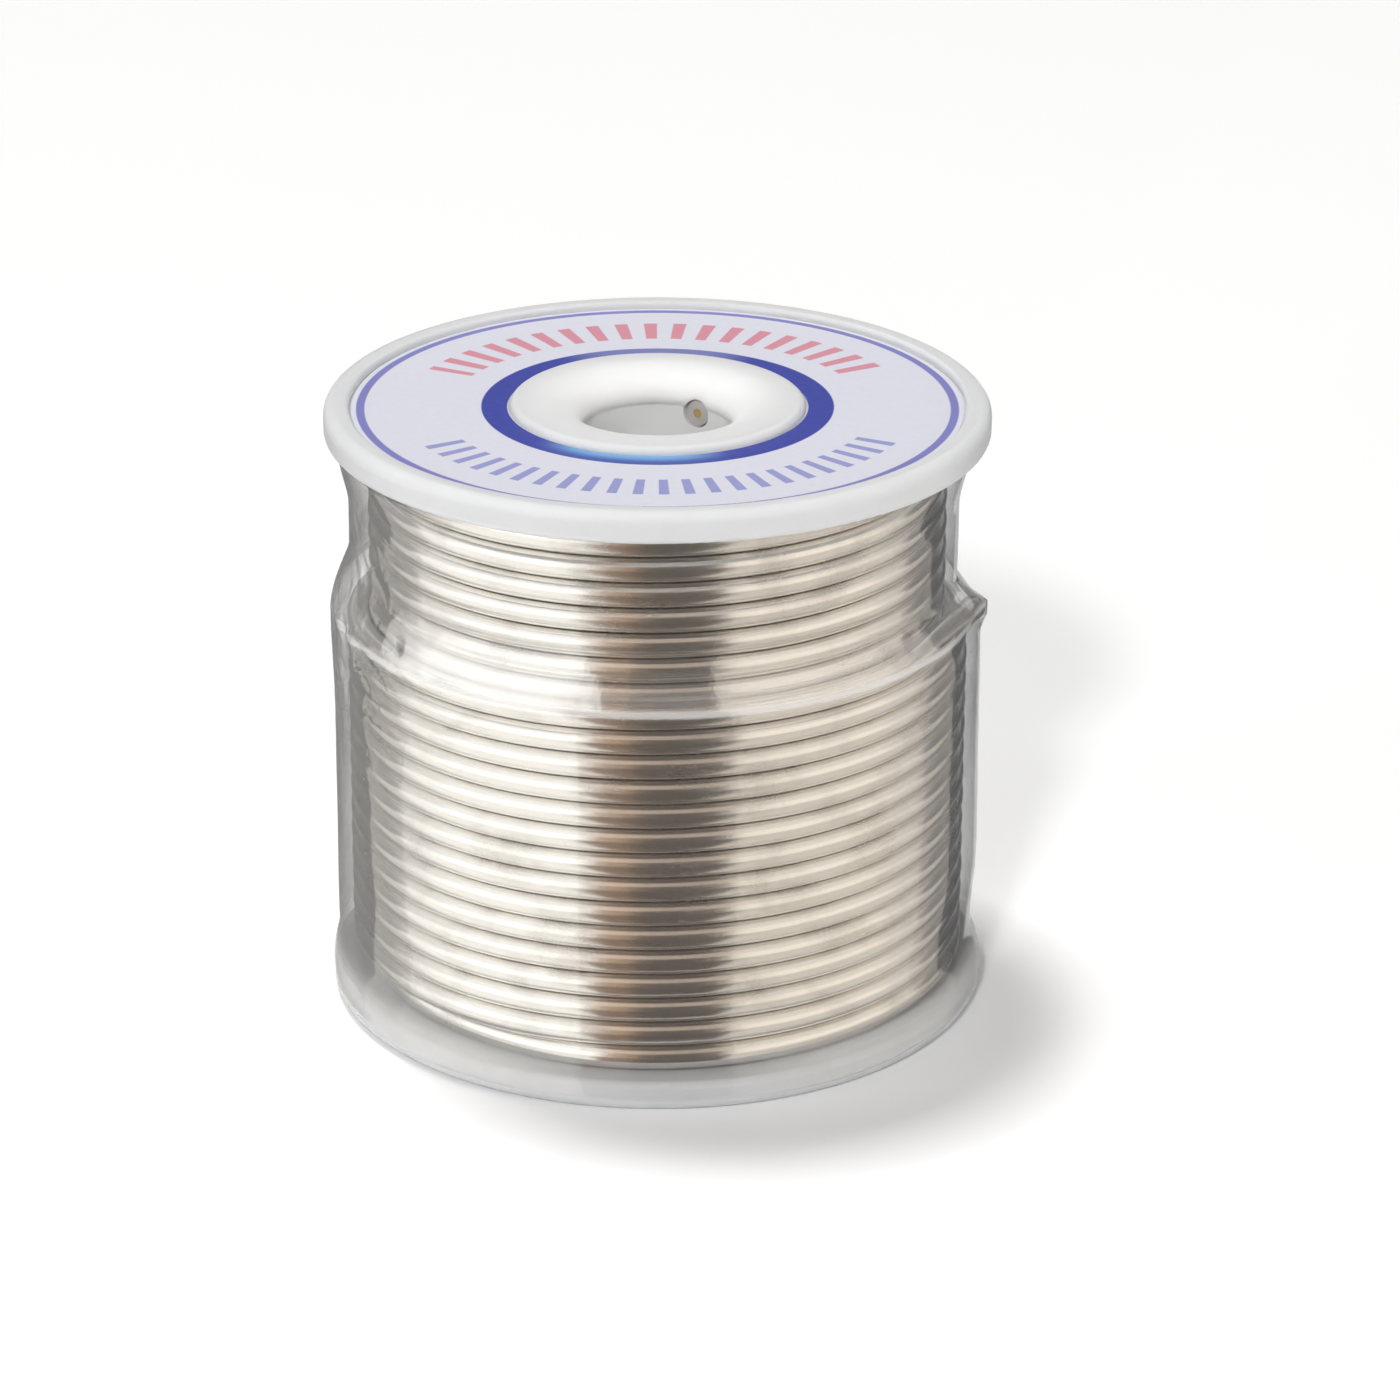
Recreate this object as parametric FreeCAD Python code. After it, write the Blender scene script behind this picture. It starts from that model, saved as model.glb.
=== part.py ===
import FreeCAD
import Part
import math
import os

# A spool of solder wire as it is sold: a white moulded bobbin, wound full of thick solder wire,
# with a printed paper ring on the upper flange and a clear shrunk film sleeve that keeps the wire
# from springing open. The spool stands on its lower flange. Lengths are in millimetres, angles in
# degrees. The origin is on the bore's axis, in the plane of the lower rim, and +Z points up.

# Bobbin
spool_height = 64.0
flange_radius = 34.0
flange_height = 3.2
rim_width = 2.6
rim_outer_round = 1.2
rim_inner_round = 0.4
rim_under_round = 0.7
label_recess = 0.85
boss_radius = 15.1
boss_round = 0.8
bore_radius = 7.5
mouth_flare = 5.0
barrel_radius = 15.5
barrel_wall = 1.8
bore_wall = 1.8
rib_count = 6
rib_thickness = 1.6
rib_first_angle = 28.0
spigot_depth = 4.0
spigot_wall = 1.5
spigot_clearance = 0.1
spigot_chamfer = 0.4
rib_end_clearance = 0.3

# Solder wire
wire_diameter = 2.6
winding_inset = 2.0
winding_slack = 0.05
turn_gap = 0.45
turn_clearance = 0.05
seat_gap = 0.1
outer_quarter_turns = 57
free_end_angle = 336.0
free_end_length = 11.0
under_end_angle = 345.0
flux_core_diameter = 0.9
flux_set_back = 0.05
flux_clearance = 0.02
dive_angle = 55.0
dive_share = 0.6
barrel_clearance = 0.1

# Inner end of the wire, where it was anchored when winding began
tail_angle = 58.0
tail_below_flange = 0.7
tail_set_back = 0.25
notch_clearance = 0.2

# Paper label
label_thickness = 0.15
label_clearance = 0.25

# Film sleeve
film_wall = 0.2
film_rim_clearance = 0.05
film_hem_height = 1.3
film_rim_round = 1.0
film_foot_height = 4.0
film_foot_round = 6.0
film_stand_off = 1.05
film_swell_drop = 9.0
film_swell_round = 20.0
film_shoulder = 0.25
film_shoulder_drop = 1.5
film_shoulder_round = 2.5
film_waist_stand_off = 1.4
film_waist_rise = 6.5
film_waist_round = 3.0
film_flare_height = 4.5
film_flare_round = 5.0
film_top_gap = 0.3
film_top_inset = 1.4
ear_base_radius = 4.8
ear_root = 2.2
ear_tip_radius = 1.3
ear_tip_round = 0.5
ear_clearance = 0.1
ear_lead = 1.7
ear_drop = 0.3

# Worked out from the sizes above
floor_z = flange_height
ceiling_z = spool_height - flange_height
recess_radius = flange_radius - rim_width
mouth_radius = bore_radius + mouth_flare
barrel_inner_radius = barrel_radius - barrel_wall
bore_tube_radius = bore_radius + bore_wall
spigot_radius = barrel_inner_radius - spigot_clearance

winding_radius = flange_radius - winding_inset
turn_pitch = wire_diameter + winding_slack
drawn_diameter = turn_pitch - turn_gap
drawn_radius = drawn_diameter / 2
layer_step = turn_pitch * math.sqrt(3) / 2
outer_turn_radius = winding_radius - wire_diameter / 2
under_turn_radius = outer_turn_radius - layer_step
outer_start_z = floor_z + turn_clearance + drawn_radius
outer_end_z = outer_start_z + turn_pitch * outer_quarter_turns / 4
outer_start_angle = free_end_angle - 90.0 * outer_quarter_turns
under_top_z = ceiling_z - turn_clearance - drawn_radius
under_quarter_turns = math.ceil(4 * (under_top_z - outer_end_z) / turn_pitch)
under_low_z = under_top_z - turn_pitch * under_quarter_turns / 4
under_start_angle = under_end_angle - 90.0 * under_quarter_turns
step_z = under_low_z - drawn_radius - turn_clearance
free_end_reach = math.hypot(outer_turn_radius, free_end_length) + wire_diameter / 2
free_end_swing = math.degrees(math.atan2(free_end_length, outer_turn_radius))
ear_angle = free_end_angle + free_end_swing - ear_lead
tail_z = ceiling_z - tail_below_flange
notch_radius = wire_diameter / 2 + notch_clearance
flux_hole_radius = flux_core_diameter / 2 + flux_clearance


def polar(radius, angle, z):
    """The point at a radius, an angle about the bore's axis and a height."""
    turn = math.radians(angle)
    return FreeCAD.Vector(radius * math.cos(turn), radius * math.sin(turn), z)


def chain(corners):
    """Edges in the XZ plane through (radius, height, rounding) corners; the two ends stay sharp."""
    edges = []
    last = FreeCAD.Vector(corners[0][0], 0, corners[0][1])
    for before, corner, after in zip(corners, corners[1:], corners[2:]):
        here = FreeCAD.Vector(corner[0], 0, corner[1])
        if corner[2] == 0:
            edges.append(Part.makeLine(last, here))
            last = here
            continue
        back = (FreeCAD.Vector(before[0], 0, before[1]) - here).normalize()
        on = (FreeCAD.Vector(after[0], 0, after[1]) - here).normalize()
        half = back.getAngle(on) / 2
        cut = corner[2] / math.tan(half)
        start = here + back * cut
        stop = here + on * cut
        middle = here + (back + on).normalize() * (corner[2] / math.sin(half) - corner[2])
        edges.append(Part.makeLine(last, start))
        edges.append(Part.Arc(start, middle, stop).toShape())
        last = stop
    edges.append(Part.makeLine(last, FreeCAD.Vector(corners[-1][0], 0, corners[-1][1])))
    return edges


def revolved(edges):
    """The solid that a closed outline in the XZ plane sweeps about the bore's axis."""
    face = Part.Face(Part.Wire(Part.__sortEdges__(edges)))
    return face.revolve(FreeCAD.Vector(0, 0, 0), FreeCAD.Vector(0, 0, 1), 360)


def closed(corners):
    """Edges of a closed outline that starts and ends at a sharp first corner."""
    return chain(corners + [corners[0]])


def ring(inner, outer, low, high):
    """A plain tube between two radii and two heights."""
    base = FreeCAD.Vector(0, 0, low)
    return Part.makeCylinder(outer, high - low, base).cut(Part.makeCylinder(inner, high - low, base))


# Turns of wire: each quarter turn is two arcs that share a tangent, and a pipe follows them.

def arc_through(start, control, stop):
    """The arc from start to stop whose two end tangents meet at control."""
    weight = math.cos((control - start).getAngle(stop - start))
    middle = (start + control * (2 * weight) + stop) * (1 / (2 + 2 * weight))
    return Part.Arc(start, middle, stop).toShape()


def biarc(start, start_way, stop, stop_way):
    """Two arcs in space that leave start along start_way and reach stop along stop_way."""
    span = stop - start
    along = span.dot(start_way + stop_way)
    bend = 1 - start_way.dot(stop_way)
    reach = (math.sqrt(along * along + 2 * bend * span.dot(span)) - along) / (2 * bend)
    first = start + start_way * reach
    second = stop - stop_way * reach
    joint = (first + second) * 0.5
    return [arc_through(start, first, joint), arc_through(joint, second, stop)]


def helix_way(angle, radius, pitch):
    """The unit direction of travel on a helix at an angle; pitch is its rise in a full turn."""
    turn = math.radians(angle)
    rise = pitch / (2 * math.pi * radius)
    return FreeCAD.Vector(-math.sin(turn), math.cos(turn), rise).normalize()


def helix_stations(radius, first_angle, first_z, pitch, quarter_turns):
    """Each quarter turn's point and direction of travel, from the first end to the last."""
    stations = []
    for quarter in range(quarter_turns + 1):
        angle = first_angle + 90.0 * quarter
        point = polar(radius, angle, first_z + pitch * quarter / 4)
        stations.append((point, helix_way(angle, radius, pitch)))
    return stations


def wound_tube(stations, first_run, last_run):
    """A round tube through the stations, with a straight run before the first and after the last."""
    begin, begin_way = stations[0]
    end, end_way = stations[-1]
    edges = [Part.makeLine(begin - begin_way * first_run, begin)]
    for (here, here_way), (there, there_way) in zip(stations, stations[1:]):
        edges += biarc(here, here_way, there, there_way)
    edges.append(Part.makeLine(end, end + end_way * last_run))
    path = Part.Wire(edges)
    section = Part.Wire(Part.makeCircle(drawn_radius, begin - begin_way * first_run, begin_way))
    pipe = Part.BRepOffsetAPI.MakePipeShell(path)
    pipe.add(section)
    pipe.build()
    pipe.makeSolid()
    return pipe.shape(), path


def least_gap(path, radius):
    """The least air between points of the path that lie more than half a turn apart."""
    count = round(path.Length)
    points = path.discretize(count)
    apart = round(count * math.pi * radius / path.Length)
    near = 4 * radius
    for i, here in enumerate(points):
        for there in points[i + apart:i + 3 * apart]:
            near = min(near, (here - there).Length)
    return near - drawn_diameter


def dive(point, way):
    """Where the wire goes on into the layer below: a bend inwards from a tube's end."""
    outward = FreeCAD.Vector(point.x, point.y, 0)
    outward = (outward - way * outward.dot(way)).normalize()
    bend = dive_share * math.hypot(point.x, point.y)
    centre = point - outward * bend
    stops = []
    for angle in (0.0, dive_angle / 2, dive_angle):
        turn = math.radians(angle)
        stops.append(centre + (outward * math.cos(turn) + way * math.sin(turn)) * bend)
    path = Part.Wire([Part.Arc(*stops).toShape()])
    pipe = Part.BRepOffsetAPI.MakePipeShell(path)
    pipe.add(Part.Wire(Part.makeCircle(drawn_radius, point, way)))
    pipe.build()
    pipe.makeSolid()
    return pipe.shape()


def outer_stations():
    """The last layer, which rises from the lower flange and stops short of the upper one."""
    first_z = outer_start_z
    return helix_stations(outer_turn_radius, outer_start_angle, first_z, turn_pitch, outer_quarter_turns)


def under_stations():
    """The turns of a lower layer that the last one leaves bare, up to the upper flange."""
    first_z = under_low_z
    return helix_stations(under_turn_radius, under_start_angle, first_z, turn_pitch, under_quarter_turns)


# Bobbin pieces

def wire_notch(low, high):
    """The cutter for the slot that lets the wire's inner end through, between two heights."""
    centre = polar(0, 0, tail_z)
    hole = Part.makeCylinder(notch_radius, barrel_radius + wire_diameter, centre, polar(1, tail_angle, 0))
    slot = Part.makeBox(barrel_radius + wire_diameter, 2 * notch_radius, spool_height)
    slot.translate(FreeCAD.Vector(0, -notch_radius, tail_z))
    slot.rotate(FreeCAD.Vector(0, 0, 0), FreeCAD.Vector(0, 0, 1), tail_angle)
    slab = Part.makeCylinder(2 * flange_radius, high - low, FreeCAD.Vector(0, 0, low))
    if high <= ceiling_z:
        return hole.fuse(slot).common(slab)
    return hole.common(slab)


def flange():
    """A moulded flange, drawn as the upper one: rim, label seat, boss, flared mouth and spigot."""
    top = spool_height
    seat = top - label_recess
    spigot_low = ceiling_z - spigot_depth
    spigot_inner = spigot_radius - spigot_wall
    edges = chain([
        (mouth_radius, top, 0),
        (boss_radius, top, boss_round),
        (boss_radius, seat, 0),
        (recess_radius, seat, 0),
        (recess_radius, top, rim_inner_round),
        (flange_radius, top, rim_outer_round),
        (flange_radius, ceiling_z, rim_under_round),
        (spigot_radius, ceiling_z, 0),
        (spigot_radius, spigot_low + spigot_chamfer, 0),
        (spigot_radius - spigot_chamfer, spigot_low, 0),
        (spigot_inner, spigot_low, 0),
        (spigot_inner, ceiling_z, 0),
        (bore_radius, ceiling_z, 0),
    ])
    edges.append(flared_mouth(top))
    return revolved(edges)


def flared_mouth(top):
    """The trumpet-shaped lead-in from the boss down to the bore: a quarter of an ellipse."""
    depth = top - ceiling_z
    centre = FreeCAD.Vector(mouth_radius, 0, ceiling_z)
    inward = centre + FreeCAD.Vector(-mouth_flare, 0, 0)
    upward = centre + FreeCAD.Vector(0, 0, depth)
    longer, shorter = (inward, upward) if mouth_flare >= depth else (upward, inward)
    curve = Part.Ellipse(longer, shorter, centre)
    ends = [FreeCAD.Vector(mouth_radius, 0, top), FreeCAD.Vector(bore_radius, 0, ceiling_z)]
    first, second = (curve.parameter(end) for end in ends)
    if abs(second - first) > math.pi:
        second += 2 * math.pi * (1 if second < first else -1)
    return Part.Edge(curve, min(first, second), max(first, second))


def upper_flange():
    """The flange with the label, with the arch for the wire's inner end in its underside."""
    return flange().cut(wire_notch(ceiling_z - spigot_depth - wire_diameter, spool_height))


def lower_flange():
    """The same moulding turned over, which the spool stands on."""
    middle = FreeCAD.Vector(0, 0, spool_height / 2)
    return flange().mirror(middle, FreeCAD.Vector(0, 0, 1))


def barrel():
    """The hub between the flanges: a tube for the wire, a tube for the spindle and ribs between."""
    shape = ring(barrel_inner_radius, barrel_radius, floor_z, ceiling_z)
    shape = shape.fuse(ring(bore_radius, bore_tube_radius, floor_z, ceiling_z))
    rib_low = floor_z + spigot_depth + rib_end_clearance
    rib_high = ceiling_z - spigot_depth - rib_end_clearance
    rib_in = bore_tube_radius - bore_wall / 2
    rib_out = barrel_inner_radius + barrel_wall / 2
    for number in range(rib_count):
        rib = Part.makeBox(rib_out - rib_in, rib_thickness, rib_high - rib_low)
        rib.translate(FreeCAD.Vector(rib_in, -rib_thickness / 2, rib_low))
        angle = rib_first_angle + number * 360 / rib_count
        rib.rotate(FreeCAD.Vector(0, 0, 0), FreeCAD.Vector(0, 0, 1), angle)
        shape = shape.fuse(rib)
    return shape.cut(wire_notch(tail_z - 2 * notch_radius, ceiling_z)).removeSplitter()


# Wire pieces

def wire_core():
    """The inner layers as one plain body, with the bends that lead into the turns on top of it."""
    inner = barrel_radius + barrel_clearance
    low = floor_z + turn_clearance
    high = ceiling_z - turn_clearance
    lower_radius = outer_turn_radius - drawn_radius - seat_gap
    upper_radius = under_turn_radius - drawn_radius - seat_gap
    body = revolved(closed([
        (inner, low, 0),
        (lower_radius, low, 0),
        (lower_radius, step_z, 0),
        (upper_radius, step_z, 0),
        (upper_radius, high, 0),
        (inner, high, 0),
    ]))
    lead = drawn_diameter + turn_clearance
    outer = outer_stations()
    under = under_stations()
    for point, way, sense in (outer[0] + (-1,), under[0] + (-1,), under[-1] + (1,)):
        body = body.fuse(dive(point + way * (sense * lead), way * sense))
    return body.common(ring(inner, flange_radius, low, high))


def free_end_flux(radius, set_back):
    """A rod along the axis of the free end's straight run, short of its cut face by set_back."""
    end, way = outer_stations()[-1]
    start = end + way * drawn_radius
    return Part.makeCylinder(radius, free_end_length - drawn_radius - set_back, start, way)


def wire_outer_turns():
    """The last layer of wire, whose free end stands off the winding inside the film's ear."""
    tube, path = wound_tube(outer_stations(), drawn_diameter, free_end_length)
    return tube.cut(free_end_flux(flux_hole_radius, -flux_set_back)), path


def wire_under_turns():
    """The bare turns of the layer below the last, between the step and the upper flange."""
    return wound_tube(under_stations(), drawn_diameter, drawn_diameter)


def tail_rod(radius, set_back):
    """A rod along the wire's inner end, short of its cut face in the bore by set_back."""
    low = bore_radius + tail_set_back + set_back
    way = polar(1, tail_angle, 0)
    return Part.makeCylinder(radius, barrel_radius - low, polar(low, tail_angle, tail_z), way)


def wire_start_tail():
    """The wire's inner end, which runs through the hub's notch and stops short of the bore."""
    return tail_rod(wire_diameter / 2, 0).cut(tail_rod(flux_hole_radius, -flux_set_back))


# Label and film

def top_label():
    """The printed paper ring in the upper flange's recess."""
    seat = spool_height - label_recess
    outer = recess_radius - label_clearance
    return ring(boss_radius + label_clearance, outer, seat, seat + label_thickness)


def film_filled(grow):
    """The solid inside the film's inner face, or with grow set to its wall, its outer face."""
    rim = flange_radius + film_rim_clearance + grow
    belly = winding_radius + film_stand_off + grow
    waist = winding_radius - layer_step + film_waist_stand_off + grow
    top = ceiling_z - film_top_gap
    body = revolved(closed([
        (0, film_hem_height, 0),
        (rim, film_hem_height, 0),
        (rim, floor_z, film_rim_round),
        (belly, floor_z + film_foot_height, film_foot_round),
        (belly, outer_end_z - film_swell_drop, film_swell_round),
        (belly + film_shoulder, outer_end_z - film_shoulder_drop, film_shoulder_round),
        (waist, outer_end_z + film_waist_rise, film_waist_round),
        (waist, top - film_flare_height, film_flare_round),
        (flange_radius - film_top_inset + grow, top, 0),
        (0, top, 0),
    ]))
    return body.fuse(film_ear(grow))


def film_ear(grow):
    """The low tent that the wire's free end pushes up out of the film, as a rounded cone."""
    root = winding_radius + film_stand_off - ear_root
    tip = free_end_reach + ear_clearance + grow
    ear = revolved(closed([
        (0, root, 0),
        (ear_base_radius + grow, root, 0),
        (ear_tip_radius + grow, tip, ear_tip_round),
        (0, tip, 0),
    ]))
    ear.rotate(FreeCAD.Vector(0, 0, 0), FreeCAD.Vector(0, 1, 0), 90)
    ear.rotate(FreeCAD.Vector(0, 0, 0), FreeCAD.Vector(0, 0, 1), ear_angle)
    ear.translate(FreeCAD.Vector(0, 0, outer_end_z - ear_drop))
    return ear


def film_sleeve():
    """The clear sleeve, from the side of the lower rim up to just under the upper flange."""
    return film_filled(film_wall).cut(film_filled(0))


def report_winding(name, tube, path, radius):
    """Print a wound tube's length, how true its volume is and the least air between its turns."""
    section = math.pi * drawn_radius ** 2
    print(name, "path", round(path.Length, 1), "volume over section times path",
          round(tube.Volume / (section * path.Length), 4), "least gap", round(least_gap(path, radius), 3))


def main():
    os.makedirs("parts", exist_ok=True)
    outer_turns, outer_path = wire_outer_turns()
    under_turns, under_path = wire_under_turns()
    report_winding("wire_outer_turns", outer_turns, outer_path, outer_turn_radius)
    report_winding("wire_under_turns", under_turns, under_path, under_turn_radius)
    shapes = {
        "upper_flange": upper_flange(),
        "lower_flange": lower_flange(),
        "barrel": barrel(),
        "wire_core": wire_core(),
        "wire_start_tail": wire_start_tail(),
        "wire_under_turns": under_turns,
        "wire_outer_turns": outer_turns,
        "flux_core_inner_end": tail_rod(flux_core_diameter / 2, flux_set_back),
        "flux_core_free_end": free_end_flux(flux_core_diameter / 2, flux_set_back),
        "top_label": top_label(),
        "film_sleeve": film_sleeve(),
    }
    for name, shape in shapes.items():
        print(name, "valid", shape.isValid(), "solids", len(shape.Solids), "volume", round(shape.Volume, 1))
        shape.exportStep(os.path.join("parts", name + ".step"))


main()
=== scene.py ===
import math

import bmesh
import bpy
from mathutils import Matrix, Quaternion, Vector, noise


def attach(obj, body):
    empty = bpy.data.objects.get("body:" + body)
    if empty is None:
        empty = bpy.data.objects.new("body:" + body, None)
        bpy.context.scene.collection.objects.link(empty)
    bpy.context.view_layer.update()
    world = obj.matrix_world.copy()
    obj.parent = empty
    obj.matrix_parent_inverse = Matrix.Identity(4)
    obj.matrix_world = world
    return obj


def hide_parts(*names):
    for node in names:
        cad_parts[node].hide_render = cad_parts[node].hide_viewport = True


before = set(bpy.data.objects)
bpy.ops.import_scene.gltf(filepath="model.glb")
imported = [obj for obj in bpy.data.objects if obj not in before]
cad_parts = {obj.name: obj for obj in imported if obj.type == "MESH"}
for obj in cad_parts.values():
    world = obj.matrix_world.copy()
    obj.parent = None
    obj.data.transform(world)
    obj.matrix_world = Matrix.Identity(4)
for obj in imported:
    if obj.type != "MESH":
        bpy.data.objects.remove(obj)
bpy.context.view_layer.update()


# Camera: the photograph's view, 22 degrees above the bench, with the spool a little left of the
# middle. The place and lens come from a pinhole camera fitted to the rims and the printed rings.

MM = 0.001
CAMERA_ELEVATION = math.radians(22.217)
CAMERA_DISTANCE = 566.1 * MM
CAMERA_AIM_HEIGHT = 32.06 * MM
CAMERA_AIM_RIGHT = 0.00783
CAMERA_AIM_UP = -0.00198
CAMERA_ROLL = math.radians(0.25)
CAMERA_LENS = 140.06
CAMERA_SENSOR = 36
CAMERA_NEAREST = 10 * MM

towards_camera = Vector((0, -math.cos(CAMERA_ELEVATION), math.sin(CAMERA_ELEVATION)))
up_in_view = Vector((0, math.sin(CAMERA_ELEVATION), math.cos(CAMERA_ELEVATION)))
look = up_in_view * CAMERA_AIM_UP - towards_camera
look.x += CAMERA_AIM_RIGHT
camera = bpy.data.objects.new("camera", bpy.data.cameras.new("camera"))
camera.data.lens = CAMERA_LENS
camera.data.sensor_width = CAMERA_SENSOR
camera.data.clip_start = CAMERA_NEAREST
camera.location = towards_camera * CAMERA_DISTANCE + Vector((0, 0, CAMERA_AIM_HEIGHT))
camera.rotation_mode = "QUATERNION"
camera.rotation_quaternion = look.to_track_quat("-Z", "Y") @ Quaternion((0, 0, 1), CAMERA_ROLL)
bpy.context.scene.collection.objects.link(camera)
bpy.context.scene.camera = camera


# Solder: thick wire of tin and lead, drawn through a die and so faintly streaked along its length,
# bright where it is fresh and a little duller in patches where it has begun to tarnish.

FRESH_SOLDER = (0.86, 0.845, 0.815, 1)
DULL_SOLDER = (0.66, 0.635, 0.60, 1)
STREAK_RADIUS = 31.0
STREAK_STRETCH = (0.12, 6.0, 6.0)


class Wired:
    """A socket in a material. Sums on it add Math nodes, and node() adds any other node."""

    def __init__(self, tree, socket):
        self.tree = tree
        self.socket = socket

    def node(self, kind, settings, values, out=0):
        """Add a node with its settings and its inputs' values, and return one of its outputs."""
        made = self.tree.nodes.new(kind)
        for name, setting in settings.items():
            setattr(made, name, setting)
        feed(made.inputs, values)
        return Wired(self.tree, made.outputs[out])

    def maths(self, operation, first, second=0.0):
        return self.node("ShaderNodeMath", {"operation": operation}, {0: first, 1: second})

    def __add__(self, other):
        return self.maths("ADD", self, other)

    def __radd__(self, other):
        return self.maths("ADD", other, self)

    def __sub__(self, other):
        return self.maths("SUBTRACT", self, other)

    def __rsub__(self, other):
        return self.maths("SUBTRACT", other, self)

    def __mul__(self, other):
        return self.maths("MULTIPLY", self, other)

    def __rmul__(self, other):
        return self.maths("MULTIPLY", other, self)


def feed(inputs, values):
    """Set a node's inputs, or link those whose value is worked out in the material."""
    for name, value in values.items():
        if isinstance(value, Wired):
            value.tree.links.new(value.socket, inputs[name])
        else:
            inputs[name].default_value = value


def new_finish(name):
    """A material, its Principled shader's inputs, and Object coordinates in millimetres."""
    material = bpy.data.materials.new(name)
    material.use_nodes = True
    tree = material.node_tree
    place = Wired(tree, None).node("ShaderNodeTexCoord", {}, {}, "Object")
    place_mm = place.node("ShaderNodeVectorMath", {"operation": "SCALE"}, {0: place, "Scale": 1 / MM})
    return material, tree.nodes["Principled BSDF"].inputs, place_mm


def cloudy(place, scale, detail=3.0, stretch=(1, 1, 1)):
    """Noise from 0 to 1 whose blotches are about 1 / scale millimetres across."""
    moved = place.node("ShaderNodeVectorMath", {"operation": "MULTIPLY"}, {0: place, 1: stretch})
    values = {"Vector": moved, "Scale": scale, "Detail": detail}
    return place.node("ShaderNodeTexNoise", {"noise_dimensions": "3D"}, values)


def ramped(value, low, high, from_low=0.0, from_high=1.0):
    """The value carried smoothly from one range to another, and held at its ends."""
    settings = {"interpolation_type": "SMOOTHSTEP"}
    ends = {"From Min": from_low, "From Max": from_high, "To Min": low, "To Max": high}
    return value.node("ShaderNodeMapRange", settings, {"Value": value, **ends})


def blended(factor, first, second):
    """A colour between two, by a factor."""
    return factor.node("ShaderNodeMix", {"data_type": "RGBA"}, {0: factor, 6: first, 7: second}, 2)


def bumped(height, strength, distance):
    """A normal tilted by a height from 0 to 1, which stands for a distance in millimetres."""
    values = {"Height": height, "Strength": strength, "Distance": distance * MM}
    return height.node("ShaderNodeBump", {}, values)


def along(place, axis):
    """A point's distance along the X, Y or Z axis, in millimetres."""
    return place.node("ShaderNodeSeparateXYZ", {}, {0: place}, axis)


def angle_of(place):
    """A point's angle round the spool, in radians."""
    return place.maths("ARCTAN2", along(place, "Y"), along(place, "X"))


def reach_of(place):
    """A point's distance from the spool's axis, in millimetres."""
    x = along(place, "X")
    y = along(place, "Y")
    return place.maths("SQRT", x * x + y * y)


def solder_finish(name, polish):
    material, inputs, place = new_finish(name)
    unrolled = place.node("ShaderNodeCombineXYZ", {}, {
        "X": angle_of(place) * STREAK_RADIUS, "Y": reach_of(place), "Z": along(place, "Z")})
    streaks = cloudy(unrolled, 1.0, 4.0, STREAK_STRETCH)
    tarnish = cloudy(place, 0.16, 4.0)
    grain = cloudy(place, 2.2, 3.0)
    dull = ramped(tarnish, 0.0, 1.0, 0.45, 0.75)
    feed(inputs, {
        "Metallic": 1.0,
        "Base Color": blended(dull * 0.6 + grain * 0.25, FRESH_SOLDER, DULL_SOLDER),
        "Roughness": polish + dull * 0.10 + streaks * 0.10,
        "Normal": bumped(streaks * 0.7 + grain * 0.3, 0.35, 0.02)})
    return material


solder = solder_finish("solder", 0.15)


# Last layer of wire: fourteen and a quarter turns that rise from the lower flange and stop short of
# the upper one. Its first end sinks between the turns below, and its free end leaves straight.

SOLDER_RADIUS = 1.3 * MM
SOLDER_SIDES = 24
STEPS_IN_A_TURN = 108
WIRE_PITCH = 2.65 * MM
LAST_LAYER_RADIUS = 30.7 * MM
LAST_LAYER_TURNS = 14.25
LAST_LAYER_LOW = 4.52 * MM
LAST_LAYER_HIGH = 42.1125 * MM
FREE_END_ANGLE = 336.0
FREE_END_RUN = 11.0 * MM
FREE_END_PIECES = 8
FLUX_HOLE_RADIUS = 0.47 * MM
FLUX_HOLE_DEPTH = 0.6 * MM
NIPPED_RINGS = ((0.96, 0.05 * MM), (0.88, 0.07 * MM))
SINK_DEPTH = 2.3 * MM
SINK_LEAD = 0.06
SINK_EASE = 0.03
SINK_RUN = 0.15
SWAY = 0.055 * MM
LONG_SWAY = 17 * MM
SHORT_SWAY = 7 * MM
LIFT = 0.02 * MM
LIFT_RUN = 23 * MM
WELD = 0.0005 * MM


def new_piece(name, bm, material, slot, *stands_for):
    """A shown object from a bmesh, at the origin, riding on the spool."""
    bmesh.ops.remove_doubles(bm, verts=bm.verts, dist=WELD)
    bmesh.ops.recalc_face_normals(bm, faces=bm.faces)
    mesh = bpy.data.meshes.new(name)
    for face in bm.faces:
        face.smooth = True
    bm.to_mesh(mesh)
    bm.free()
    mesh.materials.append(material)
    piece = bpy.data.objects.new(name, mesh)
    bpy.context.scene.collection.objects.link(piece)
    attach(piece, "root")
    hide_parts(*stands_for)
    return piece


def sunk(over):
    """How far a turn's end has sunk between its neighbours, that share of a turn past the layer."""
    past = max(0.0, over + SINK_LEAD)
    eased = past * past / (past + SINK_EASE)
    return SINK_DEPTH * (1 - math.exp(-eased / SINK_RUN))


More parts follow.
